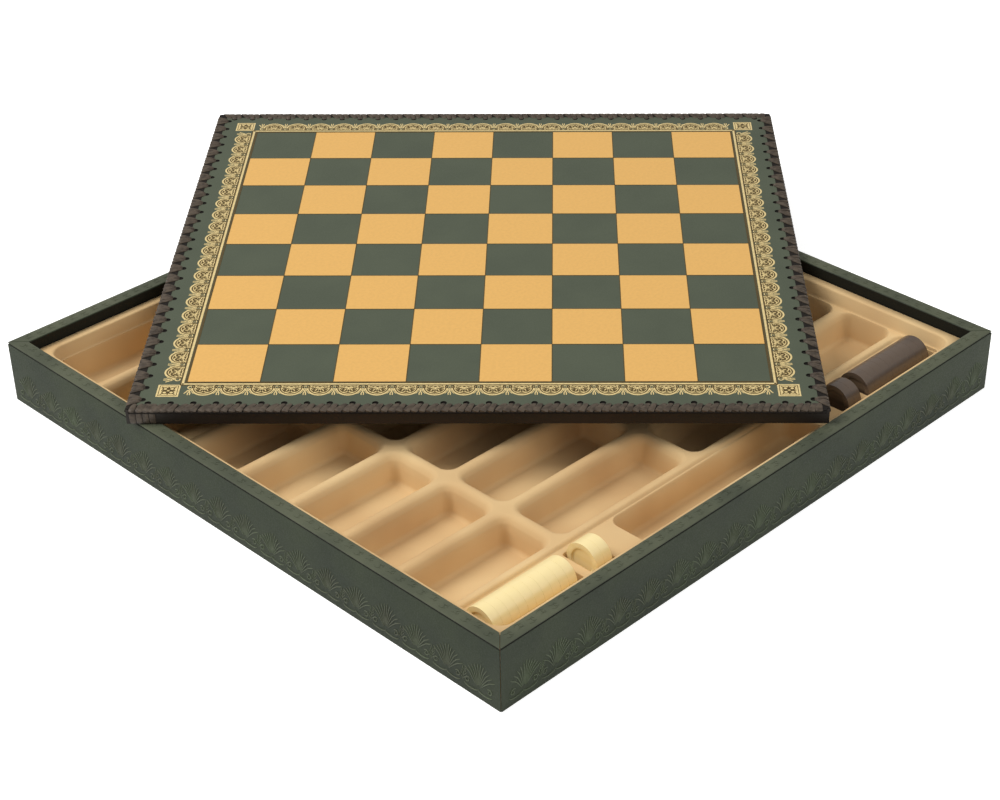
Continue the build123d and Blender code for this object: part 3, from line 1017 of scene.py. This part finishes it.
class CHESSBOX_OT_lacing(bpy.types.Operator):
    """Laces the board's edge: three strands fan out of every hole"""
    bl_idname = "chessbox.lacing"
    bl_label = "Edge lacing"

    def execute(self, context):
        s = context.scene.chess_lacing
        wide, thick = s.strand / MM, s.thickness / MM
        top = corners("lacing_front")[1][2]
        bottom = corners("board_lining")[0][2]
        leather_z = corners("board_top_leather")[1][2]
        lace = cut_lace("dyed_calf_lace_brown", s.lace, colour("#372E25"))
        # Painted shade: near black seen between the strands and along their lower ends.
        under = embossed_leather("lace_gap_painted_shade", colour("#1C1712"),
                                 colour("#130F0C"), 0.7, 0.05, 0.8)
        rng = random.Random(23)
        for side, name in enumerate(SIDES):
            shape = Shape()
            lace_gap_shade(shape, leather_z, top)
            lean, pull, gather = LACED[name]
            apart = STRAND_SPACING + (DRAWN_SPACING - STRAND_SPACING) * gather
            for hole in HOLES:
                first = -CORNER_EXTRAS if hole == HOLES[0] else -1
                last = CORNER_EXTRAS if hole == HOLES[-1] else 1
                for k in range(first, last + 1):
                    x_out = hole + lean + k * STRAND_SPACING + rng.uniform(-0.22, 0.22)
                    size = wide * pull * rng.uniform(0.95, 1.06)
                    lift = rng.uniform(-0.08, 0.0)
                    if abs(x_out) > BOARD_HALF - STRAND_END - size / 2:
                        continue
                    beside = max(-HOLE_REACH, min(HOLE_REACH, apart * k))
                    x_hole = hole + beside + rng.uniform(-0.1, 0.1)
                    widths = [size * (f + (1 - f) * 0.75 * (1 - gather)) for f in FAN]
                    strand(shape, over_edge(x_hole, x_out, top, lift), widths, thick)
            if name == "front":
                corner_wraps(shape, top, bottom, thick)
            if name == "back":
                for k, x in enumerate(KNOT):
                    path = over_edge(x + 3.5 * (-1) ** k, x - 2.5 * (-1) ** k, top, 0.0)
                    strand(shape, path, [3.4 * max(f, 0.7) for f in FAN], thick)
            make_piece("laced_edge_" + name, shape.placed(board_place(side)), [lace, under],
                       "board", ["lacing_" + name], 50)
        return {"FINISHED"}


# ---- Hidden structure ----
HIDDEN = (
    (sawn_board, "sawn_poplar_board", "#B99669", "#8F6F49", 1.5, ("board_core",)),
    (woven_lining, "woven_cotton_lining_brown", "#4A3C32", "#2B221C", 0.6, ("board_lining",)),
    (sawn_board, "sawn_poplar_wall", "#B08D60", "#86663F", 1.8,
     tuple(node.replace("cover", "wall") for node in COVERS)),
    (sawn_board, "pressed_hardboard", "#6B4A2C", "#4E341E", 0.8, ("bottom_panel",)),
    (woven_lining, "woven_cotton_lining_black", "#343434", "#1A1A1A", 0.7, ("underside_lining",)))


class CHESSBOX_OT_carcass(bpy.types.Operator):
    """Finishes the wooden walls, the bottom panel, the board's core and the linings"""
    bl_idname = "chessbox.carcass"
    bl_label = "Carcass"

    def execute(self, context):
        for make, name, light, dark, size_mm, nodes in HIDDEN:
            material = make(name, colour(light), colour(dark), size_mm)
            for node in nodes:
                dress(node, material)
        return {"FINISHED"}


# ---- Stage ----
# The camera as it was fitted to the photo's corners: place in metres, turns in degrees.
CAMERA_PLACE = (-0.6262, -0.6408, 0.5628)
CAMERA_TURNS = ((-45.81, "Z"), (90 - 33.55, "X"), (-0.241, "Z"))
CAMERA_LENS = 74.54
CAMERA_SHIFT = (-0.0474, 0.0438)
FLOOR_REACH = 6.0
FLOOR_LIFT = 0.6
WORLD_LIGHT = 0.42


def soft_light(name, place, size, power, tone):
    """A round softbox that looks at the middle of the box."""
    light = bpy.data.lights.new(name, "AREA")
    light.shape = "DISK"
    light.size = size
    light.energy = power
    light.color = tone
    holder = new_object(name, light)
    holder.location = place
    holder.rotation_euler = (-Vector(place)).to_track_quat("-Z", "Y").to_euler()


def studio_paper(tone):
    # Matt studio paper; only what the camera sees of it is lifted to white.
    paper = bpy.data.materials.new("matt_studio_paper")
    tree = empty_tree(paper)
    sheet = add_node(tree, "BsdfDiffuse", {"Color": (*tone, 1), "Roughness": 1.0})
    seen = add_node(tree, "LightPath").outputs
    direct = seen["Is Camera Ray"]
    for kind in ("Is Glossy Ray", "Is Transmission Ray"):
        direct = add_node(tree, "Math", {"operation": "MAXIMUM"},
                          {0: direct, 1: seen[kind]}).outputs["Value"]
    lift = add_node(tree, "Math", {"operation": "MULTIPLY", 1: FLOOR_LIFT}, {0: direct})
    glow = add_node(tree, "Emission", None, {"Strength": lift.outputs["Value"]})
    both = add_node(tree, "AddShader", None, {0: sheet.outputs[0], 1: glow.outputs[0]})
    add_node(tree, "OutputMaterial", links={"Surface": both.outputs["Shader"]})
    return paper


class CHESSBOX_OT_stage(bpy.types.Operator):
    """Sets up the floor, the soft studio light and the camera"""
    bl_idname = "chessbox.stage"
    bl_label = "Studio"

    def execute(self, context):
        s = context.scene.chess_stage
        scene = context.scene
        scene.view_settings.view_transform = "Standard"

        data = bpy.data.cameras.new("Camera")
        data.lens = CAMERA_LENS
        data.shift_x, data.shift_y = CAMERA_SHIFT
        data.clip_start = 0.05
        scene.camera = new_object("Camera", data)
        aim = Matrix.Translation(CAMERA_PLACE)
        for angle, axis in CAMERA_TURNS:
            aim @= Matrix.Rotation(radians(angle), 4, axis)
        scene.camera.matrix_world = aim

        mesh = bpy.data.meshes.new("floor")
        r = FLOOR_REACH
        mesh.from_pydata([(-r, -r, 0), (r, -r, 0), (r, r, 0), (-r, r, 0)], [], [(0, 1, 2, 3)])
        mesh.materials.append(studio_paper(s.floor))
        floor = new_object("floor", mesh)

        scene.world = bpy.data.worlds.new("studio")
        tree = empty_tree(scene.world)
        seen = add_node(tree, "LightPath").outputs["Is Camera Ray"]
        level = add_node(tree, "MapRange", {"To Min": WORLD_LIGHT, "To Max": 1.0}, {"Value": seen})
        sky = add_node(tree, "Background", {"Color": (1, 1, 1, 1)},
                       {"Strength": level.outputs["Result"]})
        add_node(tree, "OutputWorld", links={"Surface": sky.outputs["Background"]})

        soft_light("key_softbox", (-0.9, 0.9, 1.7), 1.3, s.key, (1.0, 0.985, 0.955))
        soft_light("fill_softbox", (0.3, -1.6, 1.5), 1.6, s.fill, (1.0, 0.995, 0.98))
        return {"FINISHED"}


STEPS = (CHESSBOX_OT_stage, CHESSBOX_OT_covers, CHESSBOX_OT_tray, CHESSBOX_OT_draughts,
         CHESSBOX_OT_board, CHESSBOX_OT_tooling, CHESSBOX_OT_lacing, CHESSBOX_OT_carcass)


class CHESSBOX_PT_panel(bpy.types.Panel):
    """Lists the pieces of the chess box and their settings"""
    bl_idname = "CHESSBOX_PT_panel"
    bl_label = "Chess Box"
    bl_space_type = "VIEW_3D"
    bl_region_type = "UI"
    bl_category = "Chess Box"

    def draw(self, context):
        for step in STEPS:
            self.layout.operator(step.bl_idname)
        for name, group in SETTINGS.items():
            box = self.layout.box()
            box.label(text=name.replace("_", " "))
            for key in group.__annotations__:
                box.prop(getattr(context.scene, name), key)


CLASSES = tuple(SETTINGS.values()) + STEPS + (CHESSBOX_PT_panel,)


def register():
    for cls in CLASSES:
        bpy.utils.register_class(cls)
    for name, group in SETTINGS.items():
        setattr(bpy.types.Scene, name, bpy.props.PointerProperty(type=group))


def unregister():
    for name in SETTINGS:
        delattr(bpy.types.Scene, name)
    for cls in reversed(CLASSES):
        bpy.utils.unregister_class(cls)


def main():
    register()
    for step in STEPS:
        group, name = step.bl_idname.split(".")
        getattr(getattr(bpy.ops, group), name)()


if __name__ == "__main__":
    main()
